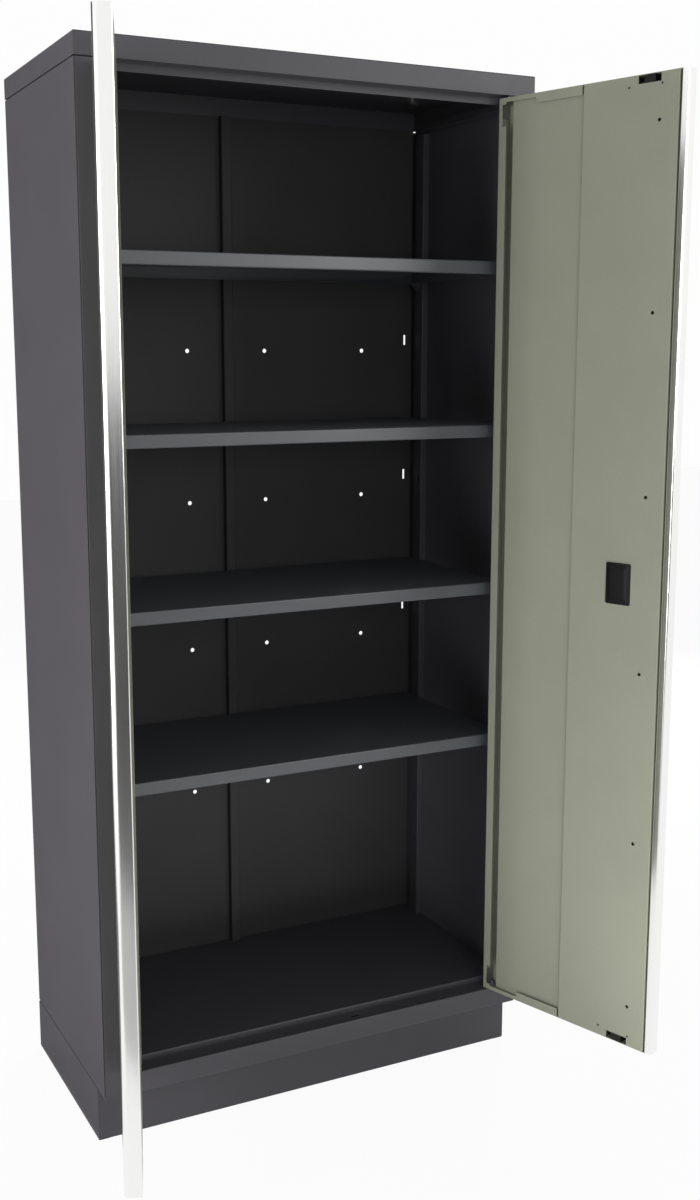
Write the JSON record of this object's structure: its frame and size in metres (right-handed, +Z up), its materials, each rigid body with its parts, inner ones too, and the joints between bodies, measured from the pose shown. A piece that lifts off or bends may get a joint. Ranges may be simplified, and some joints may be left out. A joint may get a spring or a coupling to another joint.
{
  "type": "tool cabinet",
  "caption": "Tall two-door steel tool cabinet on a recessed plinth, with lift-off shelves on slotted uprights, full-height edge pulls and a two-rod lock.",
  "frame": {"origin": "on the floor, in the middle of the plinth's front flange", "axes": "+Z up, doors face -Y, +X to the right of someone facing the doors"},
  "size_m": [1.0749, 0.8394, 2],
  "materials": {
    "carcass_paint": "charcoal powder coat, fine texture",
    "door_paint": "warm grey powder coat, satin",
    "edge_aluminium": "bright anodised",
    "zinc_steel": "zinc plated",
    "lock_chrome": "plated",
    "black_plastic": "moulded, fine grain"
  },
  "bodies": {
    "cabinet": {"plinth_front": "carcass_paint", "plinth_back": "carcass_paint", "left_plinth_side": "carcass_paint", "right_plinth_side": "carcass_paint", "left_side_panel": "carcass_paint", "right_side_panel": "carcass_paint", "left_post": "carcass_paint", "right_post": "carcass_paint", "bottom_rail": "carcass_paint", "top_rail": "carcass_paint", "floor_panel": "carcass_paint", "top_cap": "carcass_paint", "back_panel_left": "carcass_paint", "back_panel_right": "carcass_paint", "back_joint_strip": "carcass_paint", "left_front_upright": "carcass_paint", "right_front_upright": "carcass_paint", "left_rear_upright": "carcass_paint", "right_rear_upright": "carcass_paint", "shelf_clips": "zinc_steel", "hinge_bushes": "black_plastic"},
    "shelf_1": {"shelf_1": "carcass_paint"},
    "shelf_2": {"shelf_2": "carcass_paint"},
    "shelf_3": {"shelf_3": "carcass_paint"},
    "shelf_4": {"shelf_4": "carcass_paint"},
    "left_door": {"left_door_skin": "door_paint", "left_door_stiffener": "door_paint", "left_door_trim": "edge_aluminium", "left_hinge_brackets": "zinc_steel", "left_hinge_pins": "zinc_steel"},
    "right_door": {"right_door_skin": "door_paint", "right_door_stiffener": "door_paint", "right_door_trim": "edge_aluminium", "right_hinge_brackets": "zinc_steel", "right_hinge_pins": "zinc_steel", "lock_housing": "lock_chrome", "lock_cover": "black_plastic", "rod_guides": "black_plastic"},
    "lock": {"lock_plug": "zinc_steel", "lock_cam": "zinc_steel"},
    "upper_rod": {"upper_lock_rod": "zinc_steel"},
    "lower_rod": {"lower_lock_rod": "zinc_steel"}
  },
  "joints": [
    {"name": "left_door_hinge", "type": "hinge", "parent": "cabinet", "child": "left_door", "pos_m": [-0.405, -0.047, 0], "axis": [0, 0, 1], "range_deg": [-0.9, 109.1]},
    {"name": "right_door_hinge", "type": "hinge", "parent": "cabinet", "child": "right_door", "pos_m": [0.405, -0.047, 0], "axis": [0, 0, 1], "range_deg": [-107.6, 2.4]},
    {"name": "shelf_1_lift", "type": "slide", "parent": "cabinet", "child": "shelf_1", "axis": [0, 0, 1], "range_m": [0, 0.02]},
    {"name": "shelf_2_lift", "type": "slide", "parent": "cabinet", "child": "shelf_2", "axis": [0, 0, 1], "range_m": [0, 0.02]},
    {"name": "shelf_3_lift", "type": "slide", "parent": "cabinet", "child": "shelf_3", "axis": [0, 0, 1], "range_m": [0, 0.02]},
    {"name": "shelf_4_lift", "type": "slide", "parent": "cabinet", "child": "shelf_4", "axis": [0, 0, 1], "range_m": [0, 0.02]},
    {"name": "lock_turn", "type": "hinge", "parent": "right_door", "child": "lock", "pos_m": [0.50117, -0.32703, 1.0515], "axis": [-0.9532, -0.3024, 0], "range_deg": [0, 90]},
    {"name": "upper_rod_slide", "type": "slide", "parent": "right_door", "child": "upper_rod", "axis": [0, 0, 1], "range_m": [0, 0.0212]},
    {"name": "lower_rod_slide", "type": "slide", "parent": "right_door", "child": "lower_rod", "axis": [0, 0, -1], "range_m": [0, 0.0215]}
  ],
  "couplings": [
    {"joint": "lock_turn", "follows": "upper_rod_slide", "rad_per_m": 74.048},
    {"joint": "lower_rod_slide", "follows": "upper_rod_slide", "ratio": 1}
  ]
}
